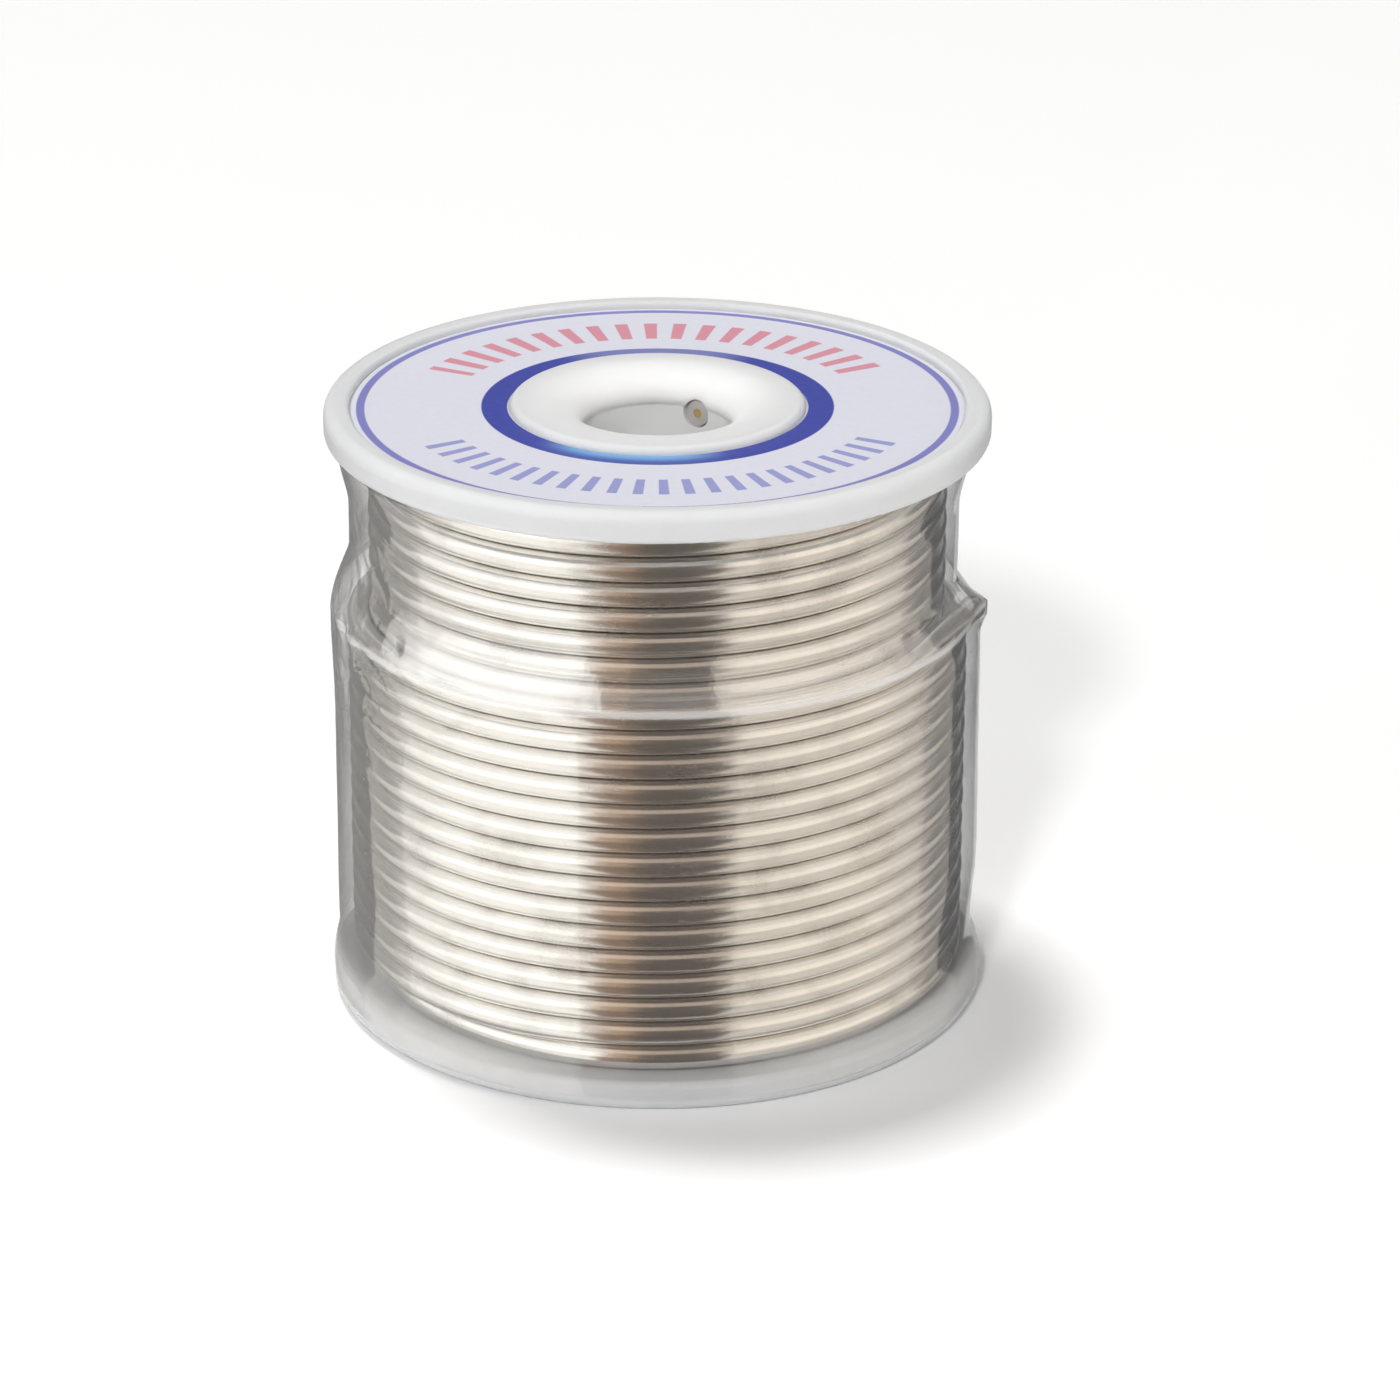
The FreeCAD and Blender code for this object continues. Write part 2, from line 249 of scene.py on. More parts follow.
def wind(bm, radius, first_angle, low, high, turns, before, after, sides, steps, seed):
    """Wind a wire in a bmesh, with some of a turn sunk before and after; returns its last edges."""
    pitch = (high - low) / turns
    one_turn = bmesh.new()
    bmesh.ops.create_circle(one_turn, segments=sides, radius=SOLDER_RADIUS)
    bmesh.ops.rotate(one_turn, verts=one_turn.verts, matrix=Matrix.Rotation(math.pi / 2, 3, "X"))
    bmesh.ops.translate(one_turn, verts=one_turn.verts, vec=(radius, 0, 0))
    bmesh.ops.spin(one_turn, geom=one_turn.verts[:] + one_turn.edges[:], axis=(0, 0, 1),
                   dvec=(0, 0, pitch / steps), angle=2 * math.pi, steps=steps)
    mesh = bpy.data.meshes.new("one_turn")
    one_turn.to_mesh(mesh)
    one_turn.free()
    whole = before + turns + after
    first_turn = Matrix.Rotation(math.radians(first_angle - 360 * before), 4, "Z")
    for number in range(math.ceil(whole)):
        mesh.transform(first_turn if number == 0 else Matrix.Translation((0, 0, pitch)))
        old = len(bm.verts)
        bm.from_mesh(mesh)
        bm.verts.ensure_lookup_table()
        spare = []
        for place in range(old, len(bm.verts)):
            vert = bm.verts[place]
            gone = number + (place - old) // sides / steps - before
            if gone > turns + after + 0.5 / steps:
                spare.append(vert)
                continue
            over = max(-gone, gone - turns)
            travel = gone * 2 * math.pi * radius
            sway = noise.noise(Vector((travel / LONG_SWAY, seed, 0)))
            sway += 0.5 * noise.noise(Vector((travel / SHORT_SWAY, seed, 5)))
            lift = noise.noise(Vector((travel / LIFT_RUN, seed, 9)))
            outward = Vector((vert.co.x, vert.co.y, 0)).normalized()
            vert.co += outward * (SWAY * sway - sunk(over))
            vert.co.z += low + LIFT * lift - pitch * (gone - min(max(gone, 0), turns) + before)
        bmesh.ops.delete(bm, geom=spare, context="VERTS")
    bpy.data.meshes.remove(mesh)
    bmesh.ops.remove_doubles(bm, verts=bm.verts, dist=WELD)
    ends = [edge for edge in bm.edges if edge.is_boundary]
    top = max(ends, key=lambda edge: edge.verts[0].co.z).verts[0].co.copy()
    return [edge for edge in ends if (edge.verts[0].co - top).length < 3 * SOLDER_RADIUS]


def points_of(edges):
    """The points of a ring of edges, each once."""
    return list(dict.fromkeys(vert for edge in edges for vert in edge.verts))


def middle_of(edges):
    """The middle of a ring of edges."""
    verts = points_of(edges)
    return sum((vert.co for vert in verts), Vector()) / len(verts)


def drawn_out(bm, edges):
    """One more ring of edges on a wire's open end, still lying on the last one."""
    made = bmesh.ops.extrude_edge_only(bm, edges=edges)["geom"]
    return [item for item in made if isinstance(item, bmesh.types.BMEdge)]


def shrink_ring(edges, radius, shift):
    """Give a ring of edges a new radius about its own middle, and move it."""
    middle = middle_of(edges)
    for vert in points_of(edges):
        vert.co = middle + (vert.co - middle).normalized() * radius + shift


def cut_end(bm, edges, way):
    """Close a wire's end: a nipped edge, a flat face, and the hole that the flux core fills."""
    rings = [(SOLDER_RADIUS * share, shift) for share, shift in NIPPED_RINGS]
    rings += [(FLUX_HOLE_RADIUS, 0.0), (FLUX_HOLE_RADIUS, -FLUX_HOLE_DEPTH)]
    for radius, shift in rings:
        edges = drawn_out(bm, edges)
        shrink_ring(edges, radius, way * shift)
    bmesh.ops.contextual_create(bm, geom=edges)


def close_ends(bm):
    bmesh.ops.holes_fill(bm, edges=[edge for edge in bm.edges if edge.is_boundary])


def last_layer():
    bm = bmesh.new()
    edges = wind(
        bm, radius=LAST_LAYER_RADIUS, first_angle=FREE_END_ANGLE - 360 * LAST_LAYER_TURNS,
        low=LAST_LAYER_LOW, high=LAST_LAYER_HIGH, turns=LAST_LAYER_TURNS, before=0.5, after=0.0,
        sides=SOLDER_SIDES, steps=STEPS_IN_A_TURN, seed=3.0)
    turn = math.radians(FREE_END_ANGLE)
    rise = WIRE_PITCH / (2 * math.pi * LAST_LAYER_RADIUS)
    way = Vector((-math.sin(turn), math.cos(turn), rise)).normalized()
    leave = Vector((math.cos(turn), math.sin(turn), 0)) * LAST_LAYER_RADIUS
    leave.z = LAST_LAYER_HIGH
    nudge = leave - middle_of(edges)
    run = FREE_END_RUN - sum(shift for share, shift in NIPPED_RINGS)
    for number in range(FREE_END_PIECES):
        edges = drawn_out(bm, edges)
        bmesh.ops.translate(bm, verts=points_of(edges), vec=(way * run + nudge) / FREE_END_PIECES)
    cut_end(bm, edges, way)
    close_ends(bm)
    new_piece("last_layer", bm, solder, "solder", "wire_outer_turns")


last_layer()


# Layer below: wound before the last one and left bare over the top seven rows, where the last layer
# stops short. It lies in the grooves of the turns under it and fills up to the upper flange.

LAYER_STEP = 2.32 * MM
BARE_LAYER_RADIUS = LAST_LAYER_RADIUS - LAYER_STEP
BARE_LAYER_END_ANGLE = 345.0
BARE_LAYER_HIGH = 59.47 * MM
BARE_LAYER_TURNS = 19.0


def bare_layer():
    bm = bmesh.new()
    wind(
        bm, radius=BARE_LAYER_RADIUS, first_angle=BARE_LAYER_END_ANGLE - 360 * BARE_LAYER_TURNS,
        low=BARE_LAYER_HIGH - WIRE_PITCH * BARE_LAYER_TURNS, high=BARE_LAYER_HIGH,
        turns=BARE_LAYER_TURNS, before=0.0, after=0.5,
        sides=SOLDER_SIDES, steps=STEPS_IN_A_TURN, seed=11.0)
    close_ends(bm)
    new_piece("bare_layer", bm, solder, "solder", "wire_under_turns")


bare_layer()


# Buried layers: the rest of the wire, which fills the spool down to the hub. Its outermost turns are
# wound as the others are, and what lies under them is never seen and is one plain drum.

BURIED_LAYER_RADIUS = BARE_LAYER_RADIUS - LAYER_STEP
BURIED_LAYER_FIRST_ANGLE = 75.0
BURIED_LAYER_TURNS = 19.8
BURIED_LAYER_LOW = 5.2 * MM
BURIED_SIDES = 12
BURIED_STEPS = 72
DRUM_INNER_RADIUS = 15.7 * MM
DRUM_OUTER_RADIUS = BURIED_LAYER_RADIUS - SOLDER_RADIUS
DRUM_LOW = 3.4 * MM
DRUM_HIGH = 60.6 * MM


def buried_layers():
    bm = bmesh.new()
    wind(
        bm, radius=BURIED_LAYER_RADIUS, first_angle=BURIED_LAYER_FIRST_ANGLE,
        low=BURIED_LAYER_LOW, high=BURIED_LAYER_LOW + WIRE_PITCH * BURIED_LAYER_TURNS,
        turns=BURIED_LAYER_TURNS, before=0.0, after=0.0,
        sides=BURIED_SIDES, steps=BURIED_STEPS, seed=17.0)
    close_ends(bm)
    corners = []
    for radius, height in (
            (DRUM_INNER_RADIUS, DRUM_LOW), (DRUM_OUTER_RADIUS, DRUM_LOW),
            (DRUM_OUTER_RADIUS, DRUM_HIGH), (DRUM_INNER_RADIUS, DRUM_HIGH)):
        corners.append(bm.verts.new((radius, 0, height)))
    sides = [bm.edges.new((here, there)) for here, there in zip(corners, corners[1:] + corners[:1])]
    bmesh.ops.spin(bm, geom=corners + sides, axis=(0, 0, 1), angle=2 * math.pi,
                   steps=BURIED_STEPS, use_merge=True)
    new_piece("buried_layers", bm, solder, "solder", "wire_core")


buried_layers()


# Inner end of the wire: it comes through a notch in the hub and shows as a dull stub in the bore. The
# rosin core that runs inside the wire shows as an amber dot in both cut ends.

PALE_ROSIN = (0.66, 0.46, 0.20, 1)
DARK_ROSIN = (0.42, 0.25, 0.08, 1)


def flux_finish():
    material, inputs, place = new_finish("flux")
    grain = cloudy(place, 3.0)
    feed(inputs, {
        "Base Color": blended(grain, PALE_ROSIN, DARK_ROSIN),
        "Roughness": 0.25 + grain * 0.3,
        "Normal": bumped(grain, 0.4, 0.05)})
    return material


def dress(node, material):
    """Give a CAD node that keeps its shape its finish."""
    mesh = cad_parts[node].data
    mesh.materials.clear()
    mesh.materials.append(material)


flux = flux_finish()
dress("wire_start_tail", solder_finish("nipped_solder", 0.5))
dress("flux_core_inner_end", flux)
dress("flux_core_free_end", flux)


# Bobbin: two flanges and a hub, moulded in white polystyrene with a fine sheen, faintly scuffed all
# over.
# The mouths are painted paler towards the bore and the hub is a paler copy of the same plastic: painted
# light that lifts the shade on the boss and in the bore. The flanges let more light in than the hub.

RIM_WHITE = (0.71, 0.715, 0.725, 1)
RIM_SHADE = (0.675, 0.68, 0.69, 1)
MOUTH_PAINTED_LIGHT = (0.93, 0.93, 0.925, 1)
MOUTH_REACH = (7.0, 17.0)
HUB_PAINTED_LIGHT = (0.96, 0.96, 0.955, 1)
HUB_PAINTED_LIGHT_MOTTLE = (0.95, 0.95, 0.945, 1)


def plastic_finish(name, light, shade, light_depth):
    material, inputs, place = new_finish(name)
    mottle = cloudy(place, 0.25, 4.0)
    scuffs = cloudy(place, 2.5, 5.0, (1, 1, 3))
    skin = cloudy(place, 9.0, 2.0)
    worn = ramped(scuffs, 0.0, 1.0, 0.58, 0.72)
    # Painted light: the flange is painted paler near the bore, lifting the shade on the boss and in the
    # mouth.
    painted_light_at_mouth = ramped(reach_of(place), 1, 0, *MOUTH_REACH)
    feed(inputs, {
        "Base Color": blended(painted_light_at_mouth, blended(mottle, light, shade), MOUTH_PAINTED_LIGHT),
        "Roughness": 0.30 + mottle * 0.10 + worn * 0.15,
        "Normal": bumped(skin * 0.5 + scuffs * 0.5, 0.15, 0.03),
        "Subsurface Weight": 0.5,
        "Subsurface Radius": (1.0, 1.0, 1.0),
        "Subsurface Scale": light_depth})
    return material


bobbin_plastic = plastic_finish("bobbin_plastic", RIM_WHITE, RIM_SHADE, 4.0 * MM)
dress("upper_flange", bobbin_plastic)
dress("lower_flange", bobbin_plastic)
# The hub's paler copy of the plastic is painted light that lifts the shade in the bore.
dress("barrel", plastic_finish("hub_plastic_painted_light", HUB_PAINTED_LIGHT, HUB_PAINTED_LIGHT_MOTTLE, 0.4 * MM))


# Label: a pale lavender paper ring stuck in the upper flange's seat. It is printed with a thin violet
# ring near its edge and a broad blue one round the boss, whose ink is paler at the back and carries a
# painted highlight at the front, palest at its inner edge. Between them are a row of red bars at the
# back and one of violet bars at the front.

PAPER = (0.715, 0.72, 0.80, 1)
PAPER_SHADE = (0.67, 0.675, 0.765, 1)
OUTER_RING = (29.8, 30.65)
OUTER_RING_INK = (0.20, 0.20, 0.50, 1)
INNER_RING = (15.3, 17.95)
INNER_RING_INK = (0.035, 0.05, 0.33, 1)
INNER_RING_HIGHLIGHT_INK = (0.20, 0.43, 0.74, 1)
INNER_RING_BACK_INK = (0.45, 0.47, 0.68, 1)
INNER_RING_HIGHLIGHT_ANGLE = math.radians(-100)
INNER_RING_HIGHLIGHT_REACH = (15.4, 17.5)
BACK_BARS = (21.2, 26.2)
BACK_BARS_ROUND = 52
BACK_BARS_INK = (0.62, 0.10, 0.16, 1)
FRONT_BARS = (22.2, 26.4)
FRONT_BARS_ROUND = 64
FRONT_BARS_INK = (0.20, 0.22, 0.54, 1)
BARS_REACH = (0.42, 0.43)


def between(value, low, high, soft=0.08):
    """1 inside a range and 0 outside, with soft ends."""
    return ramped(value, 0, 1, low - soft, low + soft) * ramped(value, 1, 0, high - soft, high + soft)


def label_finish():
    material, inputs, place = new_finish("label_paper")
    angle = angle_of(place)
    out = reach_of(place)
    back = place.maths("SINE", angle)
    fibre = cloudy(place, 1.2, 5.0)
    printed = blended(between(out, *OUTER_RING), blended(fibre, PAPER, PAPER_SHADE), OUTER_RING_INK)
    # Painted highlight: the inner ring's ink is paled in a broad patch at the front, most at its inner
    # edge.
    ring_highlight = ramped(place.maths("COSINE", angle - INNER_RING_HIGHLIGHT_ANGLE), 0, 1, 0.78, 0.99)
    ring_highlight = ring_highlight * ramped(out, 1, 0.12, *INNER_RING_HIGHLIGHT_REACH)
    ink = blended(ring_highlight, INNER_RING_INK, INNER_RING_HIGHLIGHT_INK)
    ink = blended(ramped(back, 0, 0.35, 0.80, 0.98), ink, INNER_RING_BACK_INK)
    printed = blended(between(out, *INNER_RING), printed, ink)
    thick = ramped(place.maths("SINE", angle * BACK_BARS_ROUND), 0, 1, 0.05, 0.30)
    thin = ramped(place.maths("SINE", angle * FRONT_BARS_ROUND), 0, 1, 0.15, 0.45)
    red = ramped(back, 0, 0.72, *BARS_REACH) * thick * between(out, *BACK_BARS)
    violet = ramped(back * -1, 0, 0.8, *BARS_REACH) * thin * between(out, *FRONT_BARS)
    printed = blended(red, printed, BACK_BARS_INK)
    printed = blended(violet, printed, FRONT_BARS_INK)
    feed(inputs, {
        "Base Color": printed,
        "Roughness": 0.42 + fibre * 0.12,
        "Specular IOR Level": 0.25,
        "Normal": bumped(fibre, 0.12, 0.02)})
    return material


dress("top_label", label_finish())


# Film: a clear sleeve shrunk on hot from the side of the lower rim up to the upper flange. It lies
# close on the last layer, leans in over the step, puckers there, and stands out over the free end.
# It is a little milky along the step, and is made milky at the sides of the lower rim as painted light
# that lifts the shade there.

FILM_WALL = 0.08 * MM
FILM_ROWS = 116
FILM_STEPS = 320
FILM_LOW = 1.3
FILM_HIGH = 60.4
FILM_ON_WINDING = 33.23
FILM_OFF_CENTRE = 0.25
FILM_AT_RIM = 34.14
FILM_WIDEST = 34.2
FILM_FOOT = (2.4, 7.0)
SLACK = 0.5
SLACK_RISE = (7, 16)
SLACK_FALL = (38, 44)
TIGHT_ANGLE = 350
TIGHT_SPREAD = 42
DROP_RISE = (14, 26)
DROP_FALL = (60, 150)
SHOULDER = 0.18
SHOULDER_RISE = (30.0, 41.0)
STEP_IN = 2.1
STEP_LOW = 42.0
STEP_HIGH = 49.3
FLARE = 1.2
FLARE_RISE = (53.5, FILM_HIGH)
WRINKLES_RISE = (5.0, 12.0)
WRINKLES_FALL = (55.0, 60.0)
PUCKER_DEPTH = 0.14
PUCKER_HEIGHT = 45.0
PUCKER_SPREAD = 4.0
CREASE_DEPTH = 0.55
CREASE_ANGLE = 203
CREASE_SPREAD_ROUND = 20
CREASE_HEIGHT = 43.0
CREASE_SPREAD_UP = 10.0
SEAM_ANGLE = 256.3
SEAM_WIDTH = 0.28
SEAM_PROUD = 0.12
SEAM_RISE = (3.6, 6.0)
SEAM_FALL = (38.0, 42.0)
HEM_WAVE = 0.35
HEM_REACH = 1.6
TOP_WAVE = 0.5
TOP_REACH = 3
EAR_SPAN = (-25, 50)
EAR_HIGH = 43.2
EAR_LOW = 41.6
EAR_STAND_OFF = 0.16
EAR_ARC_RADIUS = 33
EAR_BLEND = 0.5
EAR_SWELL = 0.25
FILM_MILK = (0.95, 0.94, 0.925, 1)
FILM_CLEAR = (0.985, 0.985, 0.985, 1)


def smooth(value, low, high):
    """0 below low, 1 above high, and an even climb between them."""
    share = min(max((value - low) / (high - low), 0), 1)
    return share * share * (3 - 2 * share)


def spell(value, rise, fall):
    """1 between a rise and a fall, and 0 outside them."""
    return smooth(value, *rise) * (1 - smooth(value, *fall))


def hump(off, spread):
    """1 at no distance, and less the further off."""
    return math.exp(-(off / spread) ** 2)


def swing_from(angle, centre):
    """The shorter way round from one angle to another, in degrees."""
    return (angle - centre + 180) % 360 - 180


def film_radius(angle, height):
    """The film's outer radius in millimetres at an angle in degrees and a height."""
    turn = math.radians(angle)
    tight = hump(swing_from(angle, TIGHT_ANGLE), TIGHT_SPREAD)
    drop = spell(swing_from(angle, FREE_END_ANGLE), DROP_RISE, DROP_FALL)
    step_low = STEP_LOW + 1.2 * tight - 2.2 * drop
    step_high = STEP_HIGH - 3.6 * tight - 2.0 * drop
    slack = max(0, math.cos(turn)) * spell(height, SLACK_RISE, SLACK_FALL)
    radius = FILM_ON_WINDING - FILM_OFF_CENTRE * math.cos(turn) + SLACK * slack
    radius += (FILM_AT_RIM - radius) * (1 - smooth(height, *FILM_FOOT))
    radius += SHOULDER * smooth(height, *SHOULDER_RISE) * (1 - tight)
    radius -= STEP_IN * smooth(height, step_low, step_high)
    radius += FLARE * smooth(height, *FLARE_RISE)
    radius += film_wrinkles(turn, height) + film_creases(angle, height)
    return radius + film_seam(angle, height, radius)


def film_wrinkles(turn, height):
    """Wide waves and small puckers, which are deepest over the step."""
    round_place = Vector((math.cos(turn), math.sin(turn), 0))
    wide = noise.noise(round_place * 2.2 + Vector((0, 0, height * 0.045)))
    pucker = noise.noise(round_place * 7.0 + Vector((3, 0, height * 0.10)))
    loose = spell(height, WRINKLES_RISE, WRINKLES_FALL)
    at_step = hump(height - PUCKER_HEIGHT, PUCKER_SPREAD)
    return loose * (0.10 * wide + 0.05 * pucker) + at_step * PUCKER_DEPTH * pucker


def film_creases(angle, height):
    """Slanting creases at the left of the step."""
    skewed = Vector((math.radians(angle) * 9.0 + height * 0.22, height * 0.30, 4))
    fold = 0.5 - abs(noise.noise(skewed)) * 2.2
    near = hump(swing_from(angle, CREASE_ANGLE), CREASE_SPREAD_ROUND)
    return near * hump(height - CREASE_HEIGHT, CREASE_SPREAD_UP) * CREASE_DEPTH * fold


def film_seam(angle, height, radius):
    """The welded seam, a low ridge up the winding."""
    off = math.radians(swing_from(angle, SEAM_ANGLE)) * radius
    return SEAM_PROUD * hump(off, SEAM_WIDTH) * spell(height, SEAM_RISE, SEAM_FALL)


def film_ear(angle, height):
    """The film's radius where it is stretched over the wire's free end, or 0 away from it."""
    swing = swing_from(angle, FREE_END_ANGLE)
    if not EAR_SPAN[0] < swing < EAR_SPAN[1]:
        return 0.0
    tip_swing = math.degrees(math.atan2(FREE_END_RUN, LAST_LAYER_RADIUS))
    lift = math.radians(min(max(swing, 0), tip_swing))
    reach = (LAST_LAYER_RADIUS / math.cos(lift) + SOLDER_RADIUS) / MM + EAR_STAND_OFF
    past = math.radians(max(swing - tip_swing, 0)) * EAR_ARC_RADIUS
    above = max(height - EAR_HIGH, 0)
    below = max(EAR_LOW - height, 0)
    return reach - 1.5 * above - 0.40 * below - 0.8 * past


def film_finish():
    material, inputs, place = new_finish("clear_film")
    tree = material.node_tree
    angle = angle_of(place)
    z = along(place, "Z")
    crinkle = cloudy(place, 0.35, 3.0, (1, 1, 0.6))
    fine = cloudy(place, 1.2, 2.0)
    from_left = place.maths("COSINE", angle - math.pi)
    left = ramped(from_left, 0, 1, 0.70, 0.92)
    folds = place.maths("ABSOLUTE", cloudy(place, 0.45, 2.0, (1, 1, 0.7)) - 0.5)
    crumple = left * ramped(z, 0, 1, 22.0, 38.0) * ramped(z, 1, 0, 52.0, 59.0)
    normal = bumped(crinkle * 0.45 + fine * 0.12 - crumple * folds * 2.2, 0.3, 0.3)
    band = ramped(z, 0, 1, 42.0, 42.7) * ramped(z, 1, 0, 44.0, 50.0)
    turn = angle * math.degrees(1)
    glare = band * ramped(turn, 0, 1, -152, -138) * ramped(turn, 1, 0.4, -108, -98) * 0.27
    line = between(z, 42.5, 43.2, 0.2)
    haze = between(z, 43.5, 45.3, 0.6)
    aside = place.maths("ABSOLUTE", from_left)
    # Painted light: milky film at the lower rim's sides lifts the shade there.
    rim_sides_painted_light = ramped(z, 0.24, 0, 3.8, 6.0) * ramped(aside, 0, 1, 0.15, 0.6)
    veil = 0.015 + ramped(from_left, 0, 0.07, 0.86, 0.96) + band * 0.02 + line * 0.38 + haze * 0.05
    facing = place.node("ShaderNodeLayerWeight", {}, {"Blend": 0.5, "Normal": normal}, "Facing")
    sheen = ramped(z, 0.07, 1.0, 3.0, 7.0) * ramped(from_left, 0.58, 0.87, -1.0, -0.6)
    mirrored = ramped(z, 0.03, 0.012, 40.0, 46.0) + place.maths("POWER", facing, 3.5) * sheen + glare
    feed(inputs, {"Base Color": FILM_MILK, "Roughness": 0.35, "Normal": normal})
    milky = Wired(tree, tree.nodes["Principled BSDF"].outputs[0])
    clear = place.node("ShaderNodeBsdfTransparent", {}, {"Color": FILM_CLEAR})
    sheet = place.node("ShaderNodeMixShader", {}, {0: veil + rim_sides_painted_light, 1: clear, 2: milky})
    gloss = place.node("ShaderNodeBsdfPrincipled", {}, {
        "Base Color": (1, 1, 1, 1), "Metallic": 1.0, "Roughness": 0.06 + glare * 0.45, "Normal": normal})
    whole = place.node("ShaderNodeMixShader", {}, {0: mirrored, 1: sheet, 2: gloss})
    tree.links.new(whole.socket, tree.nodes["Material Output"].inputs["Surface"])
    return material


def film_sleeve():
    bm = bmesh.new()
    verts = []
    for row in range(FILM_ROWS + 1):
        height = FILM_LOW + (FILM_HIGH - FILM_LOW) * row / FILM_ROWS
        verts.append(bm.verts.new((FILM_ON_WINDING * MM, 0, height * MM)))
    edges = [bm.edges.new((here, there)) for here, there in zip(verts, verts[1:])]
    bmesh.ops.spin(bm, geom=verts + edges, axis=(0, 0, 1), angle=2 * math.pi,
                   steps=FILM_STEPS, use_merge=True)
    for vert in bm.verts:
        turn = math.atan2(vert.co.y, vert.co.x) % (2 * math.pi)
        angle = math.degrees(turn)
        height = vert.co.z / MM
        wave = noise.noise(Vector((math.cos(turn) * 3, math.sin(turn) * 3, 2)))
        height += HEM_WAVE * wave * (1 - smooth(height, FILM_LOW, FILM_LOW + HEM_REACH))
        height -= TOP_WAVE * abs(wave) * smooth(height, FILM_HIGH - TOP_REACH, FILM_HIGH)
        radius = film_radius(angle, height)
        ear = film_ear(angle, height)
        gap = radius - ear
        if gap <= EAR_BLEND:
            radius = max(radius, ear) + EAR_SWELL * (EAR_BLEND - min(abs(gap), EAR_BLEND)) ** 2
        radius = min(radius, FILM_WIDEST)
        vert.co = Vector((math.cos(turn) * radius, math.sin(turn) * radius, height)) * MM
    piece = new_piece("film_sleeve_shrunk", bm, film_finish(), "clear_film", "film_sleeve")
    wall = piece.modifiers.new("wall", "SOLIDIFY")
    wall.thickness = FILM_WALL
    wall.offset = -1


film_sleeve()


# Studio: a plain pale floor, a white surround and four soft lamps. Only glossy surfaces see the large
# cards, which stand in zones round the spool and give the bright wire light and dark to mirror. A zone
# has its two ends, in degrees from the front, and its colours on the floor, as a wall and overhead.

CARD_DISTANCE = 2.0
CARD_PIECES = 12
CARD_SLANT = 0.20
MAT_INNER = 35 * MM
MAT_HEIGHT = 0.2 * MM
MAT_TILT = -10
WALL_TILTS = (6, 14, 22, 31)
ABOVE_TILTS = (31, 40, 48, 58, 70)
SLANT_LEVEL = 31
ZONES = {
    "dark": (-4.5, 12.9, (0.10, 0.08, 0.066), (0.10, 0.085, 0.075), (0.56, 0.455, 0.375)),
    "brown": (-12.6, -4.5, (0.25, 0.16, 0.105), (0.46, 0.30, 0.19), (0.85, 0.65, 0.49)),
    "left": (-42, -12.6, (1.22, 1.19, 1.12), (1.65, 1.62, 1.57), (1.28, 1.27, 1.24)),
    "left_far": (-54, -42, (0.74, 0.72, 0.685), (1.25, 1.22, 1.18), (1.0, 0.98, 0.95)),
    "left_edge": (-78, -54, (0.20, 0.195, 0.192), (0.23, 0.225, 0.222), (0.27, 0.264, 0.26)),
    "left_back": (-90, -78, (0.24, 0.235, 0.235), (0.22, 0.215, 0.215), (0.4, 0.4, 0.4)),
    "right": (12.9, 46, (0.77, 0.71, 0.63), (1.20, 1.09, 0.96), (0.97, 0.90, 0.81)),
    "right_far": (46, 56.5, (0.57, 0.53, 0.48), (0.90, 0.83, 0.75), (0.76, 0.71, 0.65)),
    "right_edge": (56.5, 78, (0.08, 0.083, 0.089), (0.08, 0.083, 0.089), (0.10, 0.102, 0.108)),
    "right_back": (78, 90, (0.52, 0.52, 0.525), (0.50, 0.50, 0.505), (0.5, 0.5, 0.5)),
}
BACK_TURNS = (165, 195)
BACK_HEIGHT = 0.1 * MM
BACK_TOP = 1
BACK_GREY = (0.27, 0.27, 0.275)
FLOOR_SIZE = 6.0
FLOOR_WHITE = (0.95, 0.95, 0.95, 1)
FLOOR_SEEN = 0.08
LAMPS_AIM = Vector((0, 0, 0.03))
LAMPS = {
    "lamp_key": ((-0.33, 0.42, 2.5), 0.44, 38.5, (1.0, 0.995, 0.98)),
    "lamp_front": ((-0.50, -2.14, 1.56), 0.24, 29.0, (1.0, 1.0, 1.0)),
    "lamp_fill_right": ((1.9, -0.95, 0.4), 0.5, 9.2, (1.0, 1.0, 1.0)),
    "lamp_fill_left": ((-1.9, -0.85, 0.4), 0.5, 6.8, (1.0, 1.0, 1.0)),
}
WORLD_LIGHT = 0.14


def glow_finish(name, colour):
    material = bpy.data.materials.new(name)
    material.use_nodes = True
    tree = material.node_tree
    tree.nodes.remove(tree.nodes["Principled BSDF"])
    glow = Wired(tree, None).node("ShaderNodeEmission", {}, {"Color": (*colour, 1)})
    tree.links.new(glow.socket, tree.nodes["Material Output"].inputs["Surface"])
    return material


def studio_piece(name, bm, material):
    mesh = bpy.data.meshes.new(name)
    bm.to_mesh(mesh)
    bm.free()
    mesh.materials.append(material)
    piece = bpy.data.objects.new(name, mesh)
    bpy.context.scene.collection.objects.link(piece)
    return piece


def card(name, lines, colour):
    """A card stretched between lines of points, that only the glossy surfaces see."""
    bm = bmesh.new()
    grid = [[bm.verts.new(point) for point in line] for line in lines]
    for here, there in zip(grid, grid[1:]):
        for number in range(len(here) - 1):
            bm.faces.new((here[number], here[number + 1], there[number + 1], there[number]))
    piece = studio_piece(name, bm, glow_finish(name, colour))
    piece.visible_camera = False
    piece.visible_diffuse = False
    piece.visible_transmission = False
    piece.visible_shadow = False


def turns_between(start, stop):
    """Evenly spaced turns round the spool from its front, in radians."""
    step = (stop - start) / CARD_PIECES
    return [math.radians(start + step * number) for number in range(CARD_PIECES + 1)]


def beside(turn, radius, height):
    """A point round the spool, at a turn from its front."""
    return Vector((math.sin(turn) * radius, -math.cos(turn) * radius, height))


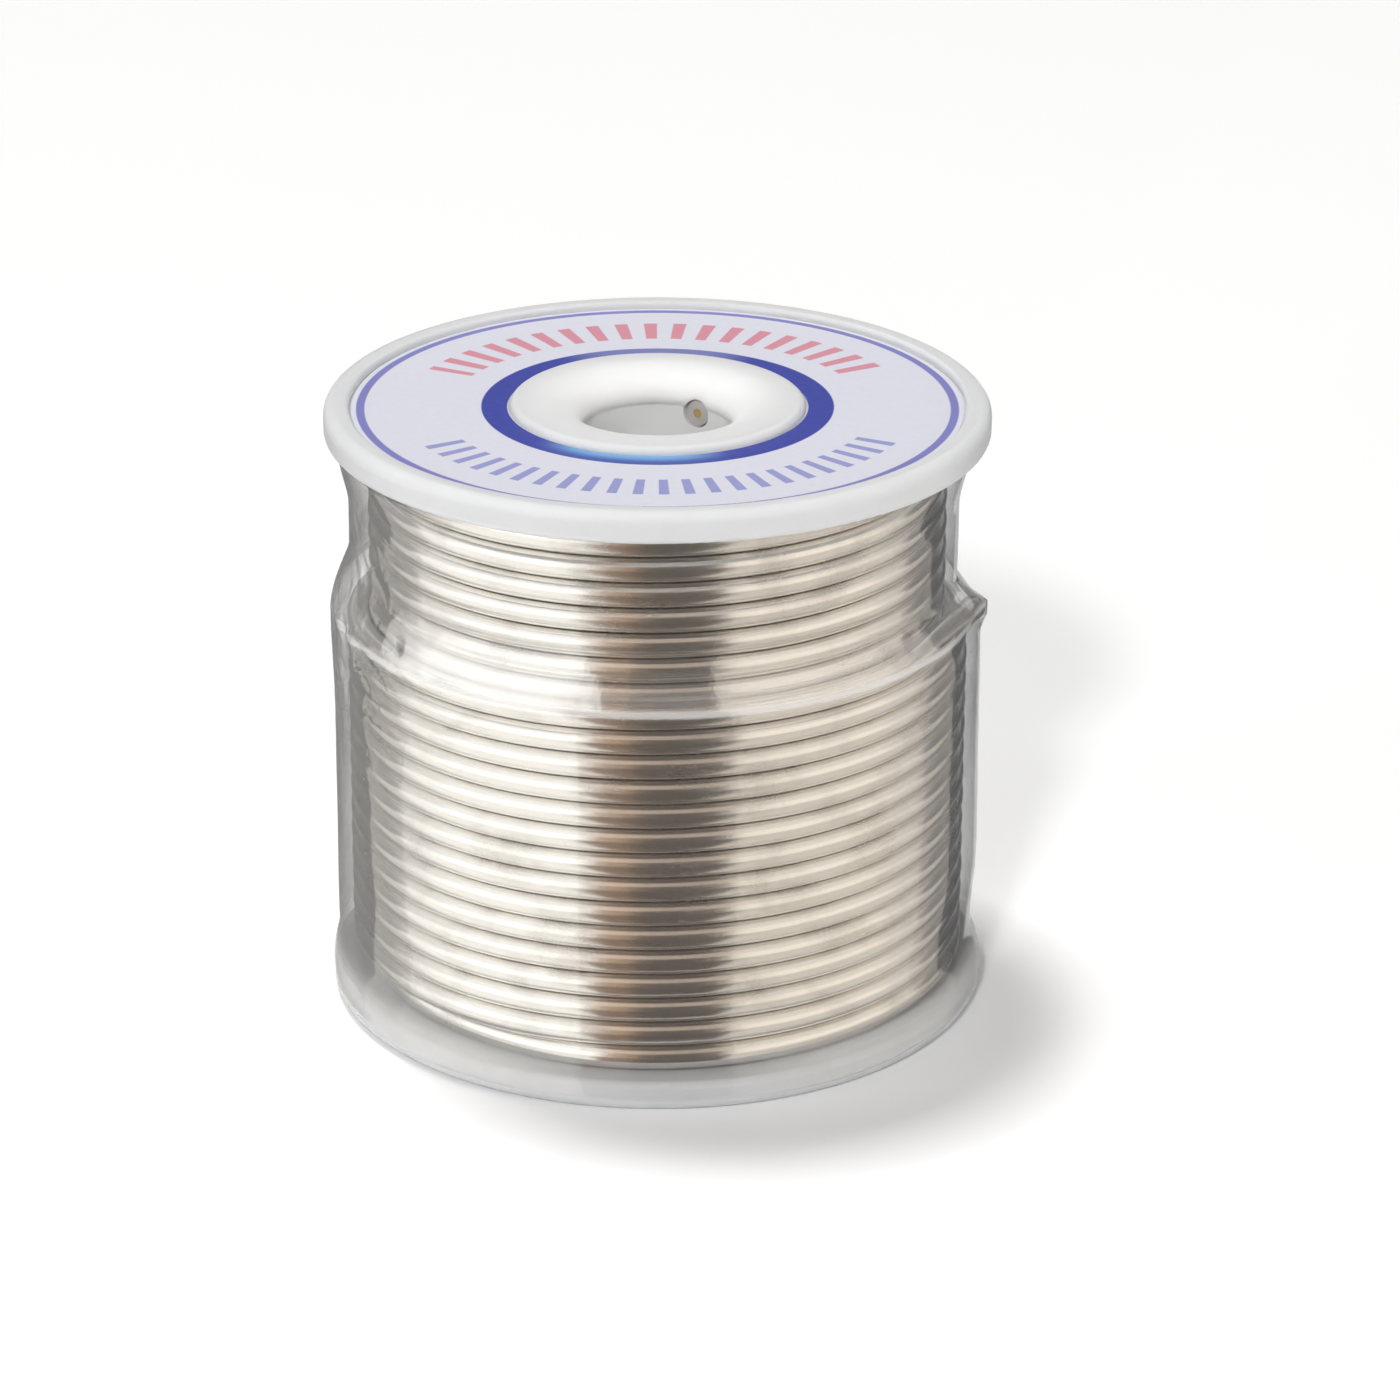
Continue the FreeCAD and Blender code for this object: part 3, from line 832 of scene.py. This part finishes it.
def way_off(turn, tilt):
    """Where a sight line from the camera goes after it meets the wire at a turn and a tilt."""
    normal = beside(turn, math.cos(tilt), math.sin(tilt))
    return normal * 2 * normal.dot(towards_camera) - towards_camera


def slanted(turn, tilt):
    """A turn moved so that, at the spool's sides, the zones start further in on a wire's underside."""
    swing = abs(math.degrees(turn))
    share = smooth(swing, 30, 42) * (1 - smooth(swing, 66, 88))
    return turn + math.copysign(CARD_SLANT * share * math.radians(tilt - SLANT_LEVEL), turn)


def zone_cards(name, turns, mat, wall, above):
    """A zone's three cards: a mat on the floor, a wall, and one overhead."""
    near = []
    far = []
    for turn in (slanted(turn, MAT_TILT) for turn in turns):
        away = way_off(turn, math.radians(MAT_TILT) * math.cos(turn) ** 2)
        away.z = 0
        near.append(beside(turn, MAT_INNER, MAT_HEIGHT))
        far.append(near[-1] + away.normalized() * CARD_DISTANCE)
    card("mat_" + name, (near, far), mat)
    for part, tilts, colour in (("wall_", WALL_TILTS, wall), ("above_", ABOVE_TILTS, above)):
        lines = []
        for tilt in tilts:
            ways = [way_off(slanted(turn, tilt), math.radians(tilt)) for turn in turns]
            lines.append([way * CARD_DISTANCE for way in ways])
        card(part + name, lines, colour)


def floor():
    """The pale floor, which also glows a little where the camera looks straight at it."""
    bm = bmesh.new()
    bmesh.ops.create_grid(bm, x_segments=1, y_segments=1, size=FLOOR_SIZE)
    material, inputs, place = new_finish("floor")
    seen_straight = place.node("ShaderNodeLightPath", {}, {}, "Is Camera Ray")
    feed(inputs, {
        "Base Color": FLOOR_WHITE, "Roughness": 0.8, "Specular IOR Level": 0.1,
        "Emission Color": (1, 1, 1, 1), "Emission Strength": seen_straight * FLOOR_SEEN})
    studio_piece("floor", bm, material)


def lamp(name, place, size, power, colour):
    """A soft square lamp that faces the spool."""
    made = bpy.data.lights.new(name, "AREA")
    made.shape = "SQUARE"
    made.size = size
    made.energy = power
    made.color = colour
    piece = bpy.data.objects.new(name, made)
    piece.location = place
    piece.rotation_mode = "QUATERNION"
    piece.rotation_quaternion = (LAMPS_AIM - Vector(place)).to_track_quat("-Z", "Y")
    piece.visible_camera = False
    piece.visible_glossy = False
    bpy.context.scene.collection.objects.link(piece)


def surround():
    """A world that looks white, and lights the spool only faintly."""
    world = bpy.data.worlds.new("surround")
    world.use_nodes = True
    bpy.context.scene.world = world
    tree = world.node_tree
    seen = Wired(tree, None).node("ShaderNodeLightPath", {}, {}, "Is Camera Ray")
    shone = Wired(tree, seen.socket.node.outputs["Is Glossy Ray"])
    passed = Wired(tree, seen.socket.node.outputs["Is Transmission Ray"])
    bright = seen.maths("MINIMUM", seen + shone + passed, 1.0)
    strength = WORLD_LIGHT + bright * (1 - WORLD_LIGHT)
    feed(tree.nodes["Background"].inputs, {"Color": (1, 1, 1, 1), "Strength": strength})


for name, (start, stop, mat, wall, above) in ZONES.items():
    zone_cards(name, turns_between(start, stop), mat, wall, above)
back_turns = turns_between(*BACK_TURNS)
card("back", [
    [beside(turn, MAT_INNER, BACK_HEIGHT) for turn in back_turns],
    [beside(turn, CARD_DISTANCE, BACK_HEIGHT) for turn in back_turns],
    [beside(turn, CARD_DISTANCE, BACK_TOP) for turn in back_turns]], BACK_GREY)
floor()
for name, (place, size, power, colour) in LAMPS.items():
    lamp(name, place, size, power, colour)
surround()
bpy.context.scene.view_settings.view_transform = "Standard"
